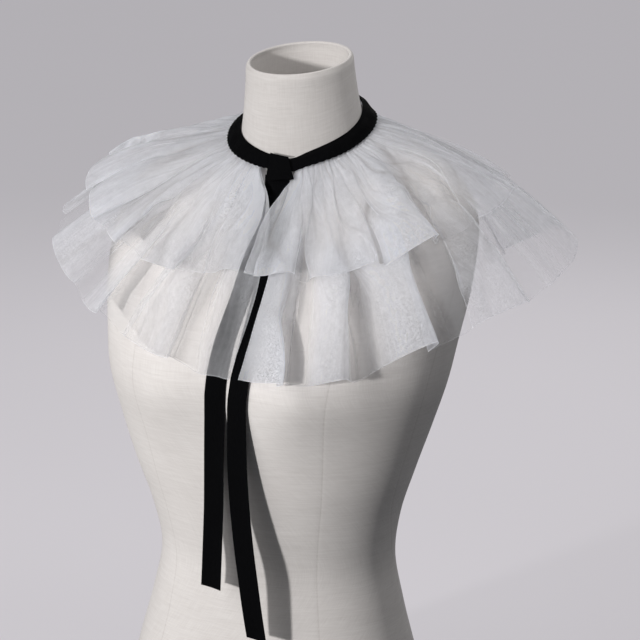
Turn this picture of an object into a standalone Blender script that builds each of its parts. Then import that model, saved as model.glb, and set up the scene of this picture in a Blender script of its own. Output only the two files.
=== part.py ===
"""A two-tier gathered tulle collar, tied with a black ribbon, on a limbless linen dress form.

Lengths are in millimetres until a mesh is made, and the scene is in metres, +Z up.
The form's front faces -Y, and the origin is the middle of the flat face it stands on.
Angles round the neck are in degrees from the front (0), through the form's left side (90).
"""

import math

import bmesh
import bpy
import numpy as np
from mathutils import Vector
from mathutils.bvhtree import BVHTree

MM = 0.001

# Driving dimensions
GAP = 0.3
CLOTH = 1.0
RIBBON = 1.0
RIBBON_WIDTH = 20.0
NECK_WALL = 4.0
NECK_Y = 54.0
NECK_BASE_Z = 619.0
NECK_BASE_TILT = 26.0
NECK_RIM_Z = 681.0
NECK_RIM_TILT = 12.9
NECK_RIM_Y = 50.0
BAND_RADIUS = 58.8
BAND_LIFT = 3.1
BAND_WIDTH = 16.5
BAND_SLOPE = 55.0
BAND_FRONT_SLOPE = 45.0
BAND_FRONT_DIP = 5.0
BAND_DIP_SPREAD = 26.0
BAND_RISE = 5.0
BAND_LIFT_RUN = 8.0
TIER_TOP = 10.5

# The torso's horizontal rings, bottom to top: where each is, how far it tips forward, and its size.
TORSO_COLUMNS = ("z", "y", "tilt", "half_width", "half_depth", "squareness")
TORSO_ROWS = (
    (0, 0, 0, 162, 115, 2.25),
    (58, -3, 0, 153, 109, 2.2),
    (115, -4, 0, 140, 101, 2.15),
    (168, -2, 0, 126, 92, 2.1),
    (215, -1, 0, 117, 87, 2.1),
    (258, -5, 0, 124, 90, 2.1),
    (305, -8, 0, 140, 96, 2.15),
    (350, -5, 0, 155, 105, 2.2),
    (390, -1, 0, 167, 111, 2.25),
    (430, 8, 1, 174, 110, 2.3),
    (468, 19, 3, 180, 105, 2.4),
    (502, 29, 6, 183, 97, 2.4),
    (530, 38, 9, 182, 90, 2.4),
    (552, 43, 12, 175, 82, 2.3),
    (570, 47, 15, 159, 76, 2.2),
    (583, 50, 18, 137, 71, 2.1),
    (594, 52, 21, 111, 67, 2.05),
    (604, 53, 23, 86, 63.5, 2.0),
    (612, 54, 25, 69, 61, 2.0),
    (619, 54, 26, 60, 59, 2.0),
)
RING_POINTS = 44
TORSO_STEPS = 2

# The neck's outside, from the seam to the rim.
NECK_COLUMNS = ("share", "radius")
NECK_ROWS = (
    (0.0, 58.6), (0.12, 57.2), (0.3, 55.4), (0.55, 53.4), (0.8, 51.8), (0.96, 50.9), (1.0, 50.0),
)
NECK_RIM_ROUND = 1.6

# The bust: a soft rise on each side of the front, with the hollow between them bridged.
BUST_Z = 392.0
BUST_ANGLE = 34.0
BUST_RISE = 13.0
BUST_HEIGHT = 46.0
BUST_SPREAD = 21.0

# How the cloth falls: its slope below level at the ribbon and at the hem, by direction.
FALL_COLUMNS = ("angle", "top_slope", "hem_slope", "upper_length", "lower_length", "upper_spread")
FALL_ROWS = (
    (-180, 51, 82, 136, 214, 4),
    (-150, 43, 74, 140, 218, 3),
    (-120, 23, 50, 145, 218, 2),
    (-90, 19, 43, 146, 207, 2),
    (-60, 26, 46, 140, 201, 3),
    (-30, 41, 64, 127, 200, 6),
    (0, 50, 76, 107, 206, 9),
    (30, 43, 70, 122, 218, 7),
    (60, 27, 56, 138, 222, 4),
    (90, 19, 48, 144, 222, 2),
    (120, 18, 44, 144, 222, 2),
    (150, 42, 73, 140, 218, 3),
    (180, 51, 82, 136, 214, 4),
)
LONGEST_TIER = max(row[FALL_COLUMNS.index("lower_length")] for row in FALL_ROWS)
FALL_CURVE = 0.85
SEAM_LEAD = 2.0
SEAM_TURN = 14.0

# The front edges: the direction of each tier's two front edges at a length down from the ribbon.
EDGE_COLUMNS = ("length", "upper_left", "upper_right", "lower_left", "lower_right")
EDGE_ROWS = (
    (12, -12.5, 20.0, -12.5, 21.0),
    (26, -6.5, 17.5, -5.0, 19.5),
    (40, 0.5, 12.0, 2.0, 16.5),
    (60, 3.0, 6.0, 6.4, 14.0),
    (100, 1.0, 3.4, 8.0, 12.4),
    (150, 0.0, 2.4, 8.0, 11.4),
    (195, 0.0, 2.4, 4.8, 8.2),
    (245, 0.0, 2.4, 1.0, 4.4),
)

# The largest folds: where each crest runs, its half width, how high it stands at the hem,
# and how far from the ribbon it begins.
FOLD_COLUMNS = ("angle", "half_width", "height", "start")
LOWER_FOLDS = (
    (28, 7, 7, 60), (47, 6, 10, 50), (63, 7, 13, 40), (82, 6, 11, 50), (97, 6, 12, 60),
    (113, 7, 10, 40), (131, 6, 12, 60), (149, 7, 9, 50), (166, 7, 11, 60), (184, 6, 9, 50),
    (201, 7, 12, 60), (219, 7, 10, 40), (236, 6, 12, 60), (252, 7, 11, 50), (268, 6, 12, 50),
    (284, 7, 10, 50), (300, 6, 12, 40), (316, 7, 9, 50), (333, 6, 8, 60), (348, 5, 5, 70),
)
UPPER_FOLDS = (
    (21, 5, 5, 30), (37, 6, 8, 30), (55, 6, 11, 30), (72, 6, 9, 25), (90, 6, 10, 30),
    (106, 6, 9, 25), (124, 7, 10, 30), (141, 6, 8, 30), (158, 6, 10, 30), (176, 6, 8, 25),
    (193, 6, 9, 30), (211, 7, 10, 30), (228, 6, 9, 30), (245, 6, 10, 25), (262, 6, 9, 30),
    (277, 6, 10, 30), (293, 6, 9, 25), (309, 6, 9, 30), (325, 6, 8, 30), (341, 5, 6, 35),
)
FOLD_GROWTH = 150.0
FOLD_REACH = 3.0

# The small gathers at the ribbon: their number, how deep they are, where they fade towards the hem,
# and the slow waves that make their spacing uneven.
PLEATS = 36
PLEAT_DEPTH = 1.6
PLEAT_RUN = 30.0
PLEAT_FADE = 0.5
PLEAT_FADE_START = 60.0
PLEAT_FADE_RUN = 120.0
WAVE_COLUMNS = ("turns", "size", "phase")
PLEAT_WAVES = ((5, 1.3, 0.0), (11, 0.8, 1.0))

# The two ribbon tails: the height and sideways place of each one's middle.
TAIL_COLUMNS = ("z", "left_x", "right_x")
TAIL_ROWS = (
    (578.8, 6.0, 10.9),
    (562, 5.0, 14.0),
    (545, 4.0, 19.0),
    (515, 3.5, 22.5),
    (475, 1.0, 23.5),
    (440, -4.5, 21.5),
    (408, -7.0, 18.0),
    (380, -7.5, 16.0),
)
TAIL_STEP = 9.0
TAIL_REST_Z = 384.0
TAIL_FLATTEN_RUN = 60.0

# Each tail's top, how near the form it lies, its cut end, and how far that end has swung sideways.
END_COLUMNS = ("side", "start_y", "clearance", "end_z", "sway")
TAIL_ENDS = (
    ("left", -15.5, 1.0, 206.0, -5.0),
    ("right", -17.2, 2.7, 163.0, 20.0),
)

# How finely each piece is divided, and how near its neighbours it lies.
COLUMN_STEP = 3.6
SEAM_ROWS = (TIER_TOP, BAND_WIDTH, BAND_WIDTH + 9.0)
LOWER_LEVELS = (0.16, 0.33, 0.5, 0.67, 0.84, 1)
UPPER_LEVELS = (0.22, 0.42, 0.62, 0.81, 1)
SHARP_ANGLE = 50.0
DRAPE_STEP = 3.0
DRAPE_MARGIN = 24.0
PATH_STEP = 3.0
DRAPE_REACH = 264.0
EDGE_SPREAD = 16.0
EDGE_MARGIN = 0.6
SEAM_CLEARANCE = 0.5
FORM_CLEARANCE = 3.0
CLEARANCE_RUN = 20.0
TAILS_CLEARANCE = 4.5
TAILS_ANGLE = 6.0
TAILS_SPREAD = 20.0
VIEW_FROM = 600.0
UPPER_SPREAD_LENGTH = 110.0
BAND_COLUMNS = 72
BAND_ROWS = 3
BAND_OPENING = 8.0
KNOT_ANGLE = 9.0
KNOT_SPAN = 15.0
KNOT_LENGTH = 24.0
KNOT_THICKNESS = 1.2
KNOT_CROWN = 0.8
KNOT_COLUMNS = 6
KNOT_ROWS = 5


def material(name, colour, roughness):
    """A Principled material of one colour."""
    made = bpy.data.materials.new(name)
    made.use_nodes = True
    shader = made.node_tree.nodes["Principled BSDF"]
    shader.inputs["Base Color"].default_value = (*colour, 1.0)
    shader.inputs["Roughness"].default_value = roughness
    shader.inputs["Metallic"].default_value = 0.0
    made.diffuse_color = (*colour, 1.0)
    return made


def add_object(name, vertices, faces, finish):
    """One named object from points in millimetres, with its faces turned outwards."""
    mesh = bpy.data.meshes.new(name)
    shape = bmesh.new()
    made = [shape.verts.new(Vector(point) * MM) for point in vertices]
    for face in faces:
        shape.faces.new([made[index] for index in face])
    bmesh.ops.recalc_face_normals(shape, faces=shape.faces)
    if shape.calc_volume(signed=True) < 0:
        bmesh.ops.reverse_faces(shape, faces=shape.faces)
    shape.to_mesh(mesh)
    shape.free()
    mesh.materials.append(finish)
    mesh.shade_smooth()
    mesh.set_sharp_from_angle(angle=math.radians(SHARP_ANGLE))
    made_object = bpy.data.objects.new(name, mesh)
    bpy.context.scene.collection.objects.link(made_object)
    return made_object


def smooth_table(columns, rows, key):
    """Functions of the key column, one for each other column, through a table's rows."""
    data = np.array(rows, float)
    at = data[:, columns.index(key)]
    slopes = np.gradient(data, at, axis=0)

    def read(column, value):
        values = data[:, columns.index(column)]
        tangent = slopes[:, columns.index(column)]
        value = min(max(value, at.min()), at.max())
        right = int(np.clip(np.searchsorted(at, value), 1, len(at) - 1))
        span = at[right] - at[right - 1]
        t = (value - at[right - 1]) / span
        return (
            (2 * t**3 - 3 * t**2 + 1) * values[right - 1]
            + (t**3 - 2 * t**2 + t) * span * tangent[right - 1]
            + (3 * t**2 - 2 * t**3) * values[right]
            + (t**3 - t**2) * span * tangent[right]
        )

    return read


read_fall = smooth_table(FALL_COLUMNS, FALL_ROWS, "angle")


def ease(value):
    """0 below 0, 1 above 1, and smooth between them."""
    t = min(max(value, 0.0), 1.0)
    return t * t * (3 - 2 * t)


def around(angle):
    """An angle between -180 and 180."""
    return (angle + 180) % 360 - 180


def bump(apart, half_width):
    """A smooth rise of 1, with this half width, at no distance apart."""
    return math.exp(-((apart / half_width) ** 2))


def tipped(x, y, tilt, centre_y, centre_z):
    """A point of a ring's own plane, tipped forward by tilt about its centre."""
    angle = math.radians(tilt)
    return (x, centre_y + y * math.cos(angle), centre_z + y * math.sin(angle))


def torso_ring(read, row):
    """The points of the ring at a fractional row of the torso table."""
    size = {column: read(column, row) for column in TORSO_COLUMNS}
    points = []
    for step in range(RING_POINTS):
        turn = 2 * math.pi * step / RING_POINTS
        power = 2 / size["squareness"]
        x = size["half_width"] * math.copysign(abs(math.sin(turn)) ** power, math.sin(turn))
        y = -size["half_depth"] * math.copysign(abs(math.cos(turn)) ** power, math.cos(turn))
        degrees = math.degrees(math.atan2(x, -y))
        share = bump(abs(degrees) - BUST_ANGLE, BUST_SPREAD) * bump(size["z"] - BUST_Z, BUST_HEIGHT)
        y -= BUST_RISE * share
        points.append(tipped(x, y, size["tilt"], size["y"], size["z"]))
    return points


def lofted(rings):
    """Vertices and faces of closed rings in order, with a flat face at each end."""
    count = len(rings[0])
    vertices = [point for ring in rings for point in ring]
    faces = []
    for level in range(len(rings) - 1):
        for step in range(count):
            following = (step + 1) % count
            faces.append((
                level * count + step,
                level * count + following,
                (level + 1) * count + following,
                (level + 1) * count + step,
            ))
    faces.append(tuple(range(count))[::-1])
    faces.append(tuple(range((len(rings) - 1) * count, len(rings) * count)))
    return vertices, faces


def build_torso(finish):
    """The torso: rings read between the table's rows, flat below and at the neck seam."""
    numbered = [(index, *row) for index, row in enumerate(TORSO_ROWS)]
    read = smooth_table(("row", *TORSO_COLUMNS), numbered, "row")
    steps = (len(TORSO_ROWS) - 1) * TORSO_STEPS
    rings = [torso_ring(read, step / TORSO_STEPS) for step in range(steps + 1)]
    return add_object("dress_form_torso", *lofted(rings), finish)


def neck_ring(share, radius):
    """The neck's ring at a share of the way up from the seam to the rim."""
    tilt = NECK_BASE_TILT + (NECK_RIM_TILT - NECK_BASE_TILT) * share
    centre_y = NECK_Y + (NECK_RIM_Y - NECK_Y) * share
    centre_z = NECK_BASE_Z + GAP + (NECK_RIM_Z - NECK_BASE_Z - GAP) * share
    points = []
    for step in range(RING_POINTS):
        turn = 2 * math.pi * step / RING_POINTS
        x = radius * math.sin(turn)
        y = -radius * math.cos(turn)
        points.append(tipped(x, y, tilt, centre_y, centre_z))
    return points


def build_neck(finish):
    """The neck: an open tube, with its hollow down to the torso's top and a rounded rim."""
    profile = [dict(zip(NECK_COLUMNS, row)) for row in NECK_ROWS]
    rings = [neck_ring(at["share"], at["radius"]) for at in profile]
    for at in reversed(profile):
        rim = NECK_RIM_ROUND if at is profile[-1] else 0.0
        rings.append(neck_ring(at["share"], at["radius"] - NECK_WALL + rim))
    count = RING_POINTS
    vertices = [point for ring in rings for point in ring]
    faces = []
    for level in range(len(rings)):
        upper = (level + 1) % len(rings)
        for step in range(count):
            following = (step + 1) % count
            faces.append((
                level * count + step,
                level * count + following,
                upper * count + following,
                upper * count + step,
            ))
    return add_object("dress_form_neck", vertices, faces, finish)


class Drape:
    """The surface that the cloth and the ribbon follow: out from the neck, and clear of the form."""

    def __init__(self, torso):
        corners = [vertex.co / MM for vertex in torso.data.vertices]
        self.form = BVHTree.FromPolygons(corners, [face.vertices for face in torso.data.polygons])
        self.angles = np.arange(-DRAPE_MARGIN, 360 + DRAPE_MARGIN + DRAPE_STEP / 2, DRAPE_STEP)
        self.paths = [self.path(angle) for angle in self.angles]

    def start(self, angle):
        """The ribbon band's top edge, on the tilted line round the neck."""
        turn = math.radians(angle)
        x = BAND_RADIUS * math.sin(turn)
        y = -BAND_RADIUS * math.cos(turn)
        point = tipped(x, y, NECK_BASE_TILT, NECK_Y, NECK_BASE_Z + BAND_RISE)
        dip = BAND_FRONT_DIP * bump(around(angle) - KNOT_ANGLE, BAND_DIP_SPREAD)
        return Vector(point) - Vector((0, 0, dip))

    def slope(self, angle, along):
        """The slope below level, in radians, at a length from the band's top edge."""
        past = max(along - BAND_WIDTH, 0.0) / LONGEST_TIER
        top = read_fall("top_slope", around(angle))
        hem = read_fall("hem_slope", around(angle))
        free = top + (hem - top) * past**FALL_CURVE
        front = bump(around(angle) - KNOT_ANGLE, BAND_DIP_SPREAD)
        band = BAND_SLOPE + (BAND_FRONT_SLOPE - BAND_SLOPE) * front
        return math.radians(band + (free - band) * ease((along - BAND_WIDTH + SEAM_LEAD) / SEAM_TURN))

    def clearance(self, angle, along):
        """How far from the form the drape keeps: more at the front, where the tails lie under it."""
        over_tails = bump(around(angle) - TAILS_ANGLE, TAILS_SPREAD)
        free = FORM_CLEARANCE + (TAILS_CLEARANCE - FORM_CLEARANCE) * over_tails
        return SEAM_CLEARANCE + (free - SEAM_CLEARANCE) * ease((along - BAND_WIDTH) / CLEARANCE_RUN)

    def path(self, angle):
        """Points and outward directions down the drape, one at each whole path step."""
        turn = math.radians(angle)
        out = Vector((math.sin(turn), -math.cos(turn), 0))
        down = Vector((0, 0, -1))
        point = self.start(angle)
        found = []
        for step in range(int(DRAPE_REACH / PATH_STEP) + 1):
            along = step * PATH_STEP
            slope = self.slope(angle, along)
            found.append((point, out * math.sin(slope) - down * math.cos(slope)))
            slope = self.slope(angle, along + PATH_STEP / 2)
            point = point + (out * math.cos(slope) + down * math.sin(slope)) * PATH_STEP
            if along >= TIER_TOP - PATH_STEP:
                point = self.clear(point, self.clearance(angle, along))
        return found

    def clear(self, point, clearance):
        """The point, moved straight away from the form if it is nearer than the clearance."""
        nearest, normal, _, _ = self.form.find_nearest(point)
        height = (point - nearest).dot(normal)
        if height < clearance:
            return point + normal * (clearance - height)
        return point

    def at(self, angle, along, lift):
        """The point above the drape in one direction, at a length down and a height out from it."""
        column = (angle - self.angles[0]) / DRAPE_STEP
        left = int(min(max(math.floor(column), 0), len(self.angles) - 2))
        row = along / PATH_STEP
        upper = int(min(max(math.floor(row), 0), len(self.paths[0]) - 2))
        across = column - left
        below = row - upper
        point = Vector((0, 0, 0))
        normal = Vector((0, 0, 0))
        for index, share in ((left, 1 - across), (left + 1, across)):
            for level, part in ((upper, 1 - below), (upper + 1, below)):
                point += self.paths[index][level][0] * share * part
                normal += self.paths[index][level][1] * share * part
        return point + normal.normalized() * lift


def fold_lift(folds, angle, along):
    """How far the largest folds lift the cloth here."""
    lifted = 0.0
    for row in folds:
        fold = dict(zip(FOLD_COLUMNS, row))
        apart = around(angle - fold["angle"])
        if abs(apart) < FOLD_REACH * fold["half_width"]:
            grown = ease((along - fold["start"]) / FOLD_GROWTH) * fold["height"]
            lifted += grown * bump(apart, fold["half_width"])
    return lifted


def pleat_lift(angle, along):
    """The small gathers at the ribbon, which widen and lose themselves towards the hem."""
    faded = 1 - PLEAT_FADE * ease((along - PLEAT_FADE_START) / PLEAT_FADE_RUN)
    depth = PLEAT_DEPTH * ease((along - TIER_TOP) / PLEAT_RUN) * faded
    turn = math.radians(angle)
    phase = PLEATS * turn
    for row in PLEAT_WAVES:
        wave = dict(zip(WAVE_COLUMNS, row))
        phase += wave["size"] * math.sin(wave["turns"] * turn + wave["phase"])
    return depth * (1 + math.sin(phase)) / 2


def lower_lift(angle, along):
    """The height of the lower tier's inner face above the drape."""
    return GAP + pleat_lift(angle, along) + fold_lift(LOWER_FOLDS, angle, along)


def upper_lift(angle, along):
    """The height of the upper tier's inner face above the drape, always clear of the lower tier."""
    spread = read_fall("upper_spread", around(angle)) * ease((along - BAND_WIDTH) / UPPER_SPREAD_LENGTH)
    own = fold_lift(UPPER_FOLDS, angle, along)
    return lower_lift(angle, along) + CLOTH + GAP + spread + own


def tier_angles(left, right):
    """Directions from the right front edge, round the back, to the left front edge."""
    end = 360 + left
    margin = COLUMN_STEP * EDGE_MARGIN
    whole = np.arange(0, 360 + COLUMN_STEP, COLUMN_STEP)
    return [right, *(angle for angle in whole if right + margin < angle < end - margin), end]


def build_tier(name, drape, lift, edges, length_column, levels, finish):
    """One gathered tier: a wall that follows the drape, with its pleats and largest folds."""
    read_edge = smooth_table(EDGE_COLUMNS, EDGE_ROWS, "length")
    left_edge, right_edge = edges
    full = max(row[FALL_COLUMNS.index(length_column)] for row in FALL_ROWS)
    hem_left = read_edge(left_edge, BAND_WIDTH + full)
    hem_right = read_edge(right_edge, BAND_WIDTH + full)
    inner = []
    outer = []
    for angle in tier_angles(hem_left, hem_right):
        reach = read_fall(length_column, around(angle))
        near_right = bump(angle - hem_right, EDGE_SPREAD)
        near_left = bump(360 + hem_left - angle, EDGE_SPREAD)
        inner_line = []
        outer_line = []
        for along in (*SEAM_ROWS, *(BAND_WIDTH + reach * level for level in levels)):
            shift_right = (read_edge(right_edge, along) - hem_right) * near_right
            shift_left = (read_edge(left_edge, along) - hem_left) * near_left
            direction = angle + shift_right + shift_left
            height = lift(direction, along)
            inner_line.append(drape.at(direction, along, height))
            outer_line.append(drape.at(direction, along, height + CLOTH))
        inner.append(inner_line)
        outer.append(outer_line)
    return wall(name, inner, outer, finish)


def wall(name, inner, outer, finish):
    """A closed wall between two grids of points with the same columns and rows."""
    columns = len(inner)
    rows = len(inner[0])
    vertices = [point for skin in (inner, outer) for line in skin for point in line]

    def at(column, row, side):
        return side * columns * rows + column * rows + row

    faces = []
    for column in range(columns - 1):
        for row in range(rows - 1):
            for side in (0, 1):
                faces.append((
                    at(column, row, side),
                    at(column + 1, row, side),
                    at(column + 1, row + 1, side),
                    at(column, row + 1, side),
                ))
    for column in range(columns - 1):
        for row in (0, rows - 1):
            faces.append((
                at(column, row, 0),
                at(column + 1, row, 0),
                at(column + 1, row, 1),
                at(column, row, 1),
            ))
    for row in range(rows - 1):
        for column in (0, columns - 1):
            faces.append((
                at(column, row, 0),
                at(column, row + 1, 0),
                at(column, row + 1, 1),
                at(column, row, 1),
            ))
    return add_object(name, vertices, faces, finish)


def build_band(drape, finish):
    """The ribbon round the neck, over the tiers' gathered tops, open behind the knot."""
    start = KNOT_ANGLE + BAND_OPENING / 2
    end = 360 + KNOT_ANGLE - BAND_OPENING / 2
    inner = []
    outer = []
    for step in range(BAND_COLUMNS + 1):
        angle = start + (end - start) * step / BAND_COLUMNS
        lines = ([], [])
        for level in range(BAND_ROWS + 1):
            along = BAND_WIDTH * level / BAND_ROWS
            lift = GAP + BAND_LIFT * ease(along / BAND_LIFT_RUN)
            for line, height in zip(lines, (lift, lift + RIBBON)):
                line.append(drape.at(angle, along, height))
        inner.append(lines[0])
        outer.append(lines[1])
    return wall("neck_ribbon", inner, outer, finish)


def build_knot(drape, finish):
    """The half knot: one turn of ribbon over the band, a little crowned across."""
    inner = []
    outer = []
    for step in range(KNOT_COLUMNS + 1):
        share = step / KNOT_COLUMNS
        angle = KNOT_ANGLE + KNOT_SPAN * (share - 0.5)
        crown = KNOT_CROWN * math.sin(math.pi * share)
        lines = ([], [])
        for level in range(KNOT_ROWS + 1):
            along = KNOT_LENGTH * level / KNOT_ROWS
            lift = BAND_LIFT + RIBBON + 2 * GAP
            lines[0].append(drape.at(angle, along, lift))
            lines[1].append(drape.at(angle, along, lift + KNOT_THICKNESS + crown))
        inner.append(lines[0])
        outer.append(lines[1])
    return wall("ribbon_knot", inner, outer, finish)


def build_tail(end, drape, finish):
    """One ribbon tail: down the chest to the bust, then hanging free to its cut end."""
    read = smooth_table(TAIL_COLUMNS, TAIL_ROWS[::-1], "z")
    top = TAIL_ROWS[0][TAIL_COLUMNS.index("z")]
    steps = int((top - end["end_z"]) / TAIL_STEP)
    front_most = [end["start_y"]] * 3
    inner = []
    outer = []
    for step in range(steps + 1):
        z = top + (end["end_z"] - top) * step / steps
        hanging = max(TAIL_REST_Z - z, 0.0) ** 2 / (TAIL_REST_Z - end["end_z"]) ** 2
        middle = read(end["side"] + "_x", z) + end["sway"] * hanging
        across = [middle + side * RIBBON_WIDTH / 2 for side in (-1, 0, 1)]
        for index, x in enumerate(across):
            hit, normal, _, _ = drape.form.ray_cast(Vector((x, -VIEW_FROM, z)), Vector((0, 1, 0)))
            front_most[index] = min(front_most[index], (hit + normal * end["clearance"]).y)
        level = min(front_most)
        flat = [y + (level - y) * ease((TAIL_REST_Z - z) / TAIL_FLATTEN_RUN) for y in front_most]
        inner.append([Vector((x, y, z)) for x, y in zip(across, flat)])
        outer.append([point - Vector((0, RIBBON, 0)) for point in inner[-1]])
    return wall("ribbon_tail_" + end["side"], inner, outer, finish)


def main():
    for old in list(bpy.data.objects):
        bpy.data.objects.remove(old)
    linen = material("linen", (0.72, 0.68, 0.63), 0.9)
    tulle = material("tulle", (0.86, 0.88, 0.92), 0.7)
    black = material("ribbon", (0.01, 0.01, 0.012), 0.6)
    torso = build_torso(linen)
    build_neck(linen)
    drape = Drape(torso)
    build_tier("tulle_lower_tier", drape, lower_lift, ("lower_left", "lower_right"), "lower_length",
               LOWER_LEVELS, tulle)
    build_tier("tulle_upper_tier", drape, upper_lift, ("upper_left", "upper_right"), "upper_length",
               UPPER_LEVELS, tulle)
    build_band(drape, black)
    build_knot(drape, black)
    for row in TAIL_ENDS:
        build_tail(dict(zip(END_COLUMNS, row)), drape, black)


main()
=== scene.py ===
"""Looks of the two-tier tulle collar on its dress form: fine net, ribbon and linen, light and camera.

Lengths are in millimetres until a mesh is made. The form's front faces -Y.
Angles round the neck are in degrees from the front (0), through the form's left side (90).
"""

import math

import bmesh
import bpy
import numpy as np
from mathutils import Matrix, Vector
from mathutils.bvhtree import BVHTree


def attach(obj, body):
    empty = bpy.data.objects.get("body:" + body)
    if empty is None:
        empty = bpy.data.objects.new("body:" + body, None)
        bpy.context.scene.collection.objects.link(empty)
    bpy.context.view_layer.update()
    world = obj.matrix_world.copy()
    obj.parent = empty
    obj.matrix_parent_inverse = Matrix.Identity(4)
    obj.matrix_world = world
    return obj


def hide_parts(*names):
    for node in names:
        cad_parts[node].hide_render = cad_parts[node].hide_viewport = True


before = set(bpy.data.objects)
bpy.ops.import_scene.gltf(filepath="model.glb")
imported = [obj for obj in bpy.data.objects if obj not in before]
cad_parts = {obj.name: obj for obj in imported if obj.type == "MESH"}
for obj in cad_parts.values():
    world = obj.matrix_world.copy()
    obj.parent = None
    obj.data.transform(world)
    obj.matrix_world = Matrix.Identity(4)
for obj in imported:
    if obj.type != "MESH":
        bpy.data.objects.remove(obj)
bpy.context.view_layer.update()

MM = 0.001

# Camera and light, by direction from the object
CAMERA_AZIMUTH = 25.0
CAMERA_PITCH = 13.0
CAMERA_DISTANCE = 2200.0
CAMERA_TARGET = (15.9, 61.4, 426.1)
CAMERA_LENS = 127.58
KEY_AZIMUTH = -17.5
LIGHT_COLUMNS = ("name", "azimuth", "height", "distance", "size", "power")
LIGHT_ROWS = (
    ("key", KEY_AZIMUTH, 7.0, 3200.0, 0.22, 76.0),
    ("left", -36.0, 28.0, 2300.0, 1.6, 21.0),
    ("right", 75.0, 58.0, 1100.0, 0.6, 4.8),
    ("back", 195.0, 35.0, 2300.0, 1.6, 19.0),
)
LIGHT_COLOUR = (1.0, 0.985, 0.975)
FILL_LEVEL = 0.12
FILL_COLOUR = (0.93, 0.95, 1.0, 1.0)
FLOOR_SIZE = 30.0
FLOOR_COLOUR = (0.86, 0.83, 0.875)
FLOOR_GLOW = 0.485
NET_LAYERS_SEEN = 48

# Sizes shared with the solids
GAP = 0.3
RIBBON = 1.0
RIBBON_WIDTH = 20.0
NECK_WALL = 4.0
NECK_Y = 54.0
NECK_BASE_Z = 619.0
NECK_BASE_TILT = 26.0
NECK_RIM_Z = 681.0
NECK_RIM_TILT = 12.9
NECK_RIM_Y = 50.0
BAND_RADIUS = 58.8
BAND_LIFT = 3.1
BAND_WIDTH = 16.5
BAND_SLOPE = 55.0
BAND_FRONT_SLOPE = 45.0
BAND_FRONT_DIP = 5.0
BAND_DIP_SPREAD = 26.0
BAND_RISE = 5.0
BAND_LIFT_RUN = 8.0
BAND_OPENING = 4.0
TIER_TOP = 10.5
KNOT_ANGLE = 9.0
KNOT_MIDDLE = 4.1
NOTCH_DROP = 3.6
NOTCH_ANGLE = 14.0
NOTCH_SPREAD = 9.0

TORSO_COLUMNS = ("z", "y", "tilt", "half_width", "half_depth", "squareness")
TORSO_ROWS = (
    (0, 0, 0, 162, 115, 2.25),
    (58, -3, 0, 153, 109, 2.2),
    (115, -4, 0, 140, 101, 2.15),
    (168, -2, 0, 126, 92, 2.1),
    (215, -1, 0, 117, 87, 2.1),
    (258, -5, 0, 124, 90, 2.1),
    (305, -8, 0, 140, 96, 2.15),
    (350, -5, 0, 155, 105, 2.2),
    (390, -1, 0, 167, 111, 2.25),
    (430, 8, 1, 174, 110, 2.3),
    (468, 19, 3, 180, 105, 2.4),
    (502, 29, 6, 183, 97, 2.4),
    (530, 38, 9, 182, 90, 2.4),
    (552, 43, 12, 175, 82, 2.3),
    (570, 47, 15, 159, 76, 2.2),
    (583, 50, 18, 137, 71, 2.1),
    (594, 52, 21, 111, 67, 2.05),
    (604, 53, 23, 86, 63.5, 2.0),
    (612, 54, 25, 69, 61, 2.0),
    (619, 54, 26, 60, 59, 2.0),
)
NECK_COLUMNS = ("share", "radius")
NECK_ROWS = (
    (0.0, 58.6), (0.12, 57.2), (0.3, 55.4), (0.55, 53.4), (0.8, 51.8), (0.96, 50.9), (1.0, 50.0),
)
BUST_Z = 392.0
BUST_ANGLE = 34.0
BUST_RISE = 13.0
BUST_HEIGHT = 46.0
BUST_SPREAD = 21.0

# The form's sewn seams: where each runs round the ring, by height.
SEAM_COLUMNS = ("z", "front", "side", "back")
SEAM_ROWS = (
    (0, 38.0, 100.0, 146.0),
    (165, 37.4, 100.0, 146.0),
    (204, 38.0, 98.0, 145.0),
    (237, 38.4, 91.0, 144.0),
    (279, 38.0, 81.0, 143.0),
    (309, 36.5, 78.8, 143.0),
    (340, 35.0, 78.0, 144.0),
    (388, 33.7, 77.5, 146.0),
    (460, 32.5, 79.0, 148.0),
    (620, 31.0, 84.0, 150.0),
)

# Both tiers' fall by direction: their slopes below level at the top and at the hem, their lengths from
# the ribbon, and how far the upper one stands clear of the lower. The solids' fall is close to this one.
FALL_COLUMNS = ("angle", "top_slope", "hem_slope", "upper_length", "lower_length", "upper_spread")
FALL_ROWS = (
    (-180, 51, 82, 136, 214, 4),
    (-150, 43, 74, 140, 218, 3),
    (-120, 29, 44, 147, 216, 10),
    (-90, 27, 35, 150, 203, 14),
    (-60, 30, 44, 142, 198, 9),
    (-30, 41, 64, 127, 200, 6),
    (0, 50, 76, 107, 206, 9),
    (30, 43, 70, 122, 218, 7),
    (60, 27, 56, 138, 222, 4),
    (90, 19, 48, 144, 230, 2),
    (120, 18, 44, 144, 215, 2),
    (150, 42, 73, 140, 218, 3),
    (180, 51, 82, 136, 214, 4),
)
# The length at which a fall reaches its hem slope
FALL_LENGTH = 222.0
FALL_CURVE = 0.85
SEAM_LEAD = 2.0
SEAM_TURN = 14.0
# Where the front edges lie, in degrees, by length from the ribbon's top edge
EDGE_COLUMNS = ("length", "upper_left", "upper_right", "lower_left", "lower_right")
EDGE_ROWS = (
    (12, -12.5, 20.0, -12.5, 21.0),
    (26, -6.5, 17.5, -5.0, 19.5),
    (40, 0.5, 12.0, 2.0, 16.5),
    (60, 3.0, 6.0, 6.4, 14.0),
    (100, 1.0, 3.4, 8.0, 12.4),
    (150, 0.0, 2.4, 8.0, 11.4),
    (195, 0.0, 2.4, 4.8, 8.2),
    (245, 0.0, 2.4, 1.0, 4.4),
)
EDGE_SPREAD = 16.0
HEM_WAVE = 1.6
HEM_RIPPLE = 1.1

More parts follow.
